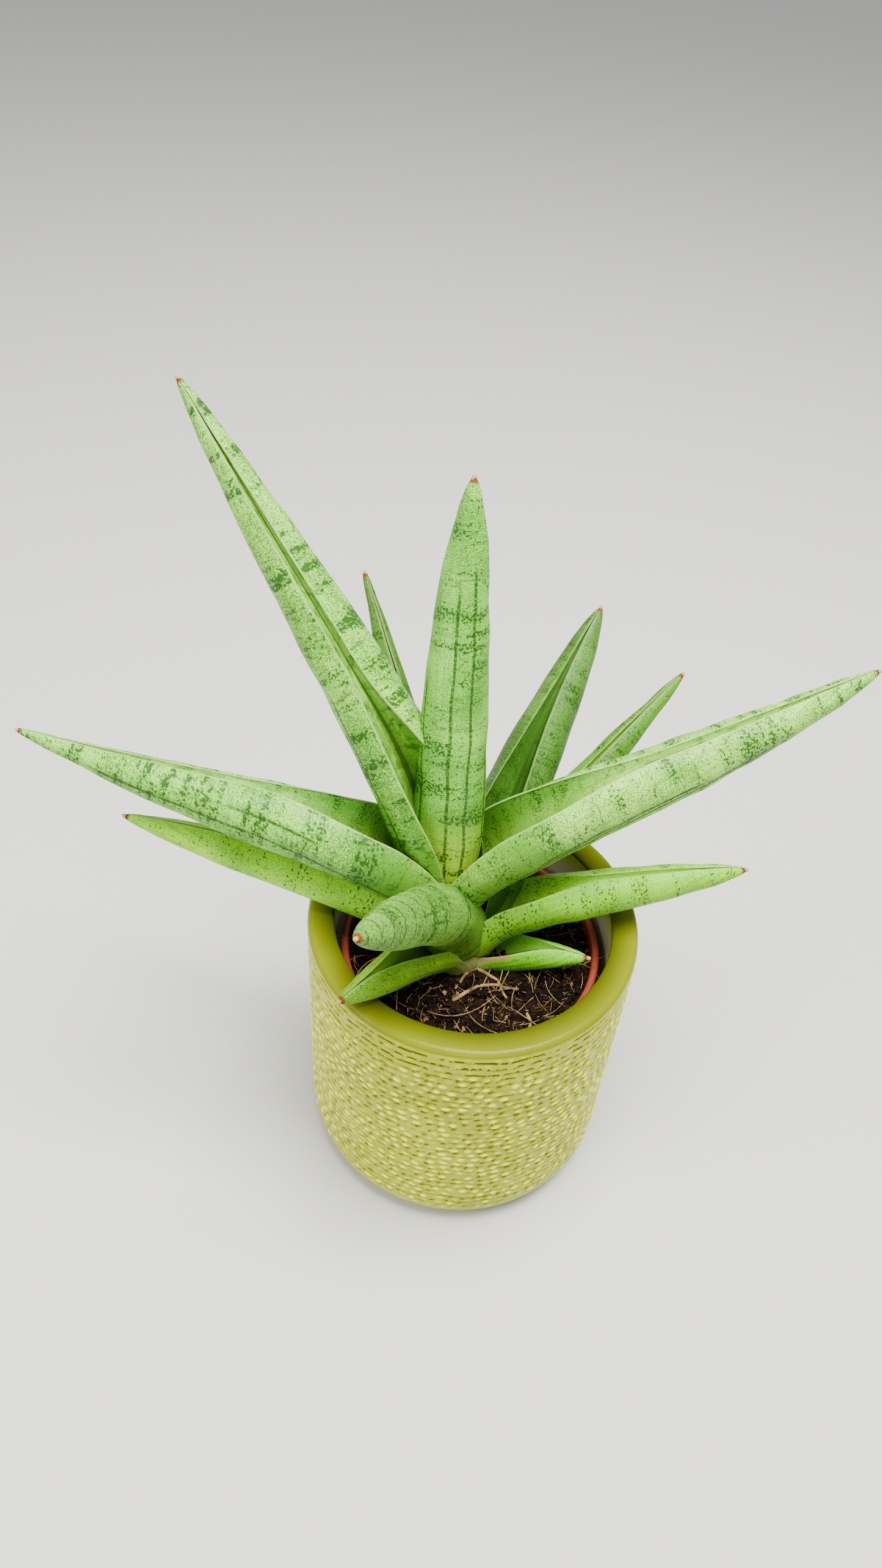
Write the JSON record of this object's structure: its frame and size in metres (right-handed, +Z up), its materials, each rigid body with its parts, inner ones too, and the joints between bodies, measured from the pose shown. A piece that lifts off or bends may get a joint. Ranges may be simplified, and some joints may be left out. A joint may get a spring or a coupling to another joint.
{
  "type": "potted snake plant",
  "caption": "Potted succulent: stiff channelled silver-green leaves clasping a short stem in soil, in a thin grow pot set inside a round relief-glazed ceramic cachepot.",
  "frame": {"origin": "centre of the cachepot's flat resting face", "axes": "+Z up along the cachepot's axis, -Y towards the front from which the picture was taken, +X to the right in it"},
  "size_m": [0.292, 0.1427, 0.2859],
  "materials": {
    "pot_glaze": "glossy olive-lime glaze, thin and paler on the raised knobs",
    "grow_pot_plastic": "matt terracotta-red plastic",
    "peat_soil": "rough damp peat and coir",
    "root_skin": "dry fibrous tan skin",
    "silver_leaf": "waxy silver green with dark mottled crossbands",
    "old_leaf": "waxy brighter green with faint crossbands"
  },
  "bodies": {
    "root": {"cachepot": "pot_glaze", "nursery_pot": "grow_pot_plastic", "soil_plug": "peat_soil", "crown_stem": "root_skin", "leaf_01_centre": "silver_leaf", "leaf_02_right": "silver_leaf", "leaf_03_tall_left": "silver_leaf", "leaf_04_left": "silver_leaf", "leaf_05_front": "silver_leaf", "leaf_06_back_right": "silver_leaf", "leaf_07_lower_right": "old_leaf", "leaf_08_back_left": "old_leaf", "leaf_09_lower_left": "old_leaf", "leaf_10_far_right": "old_leaf", "leaf_11_lowest_left": "old_leaf", "leaf_12_lowest_right": "old_leaf"}
  },
  "joints": []
}
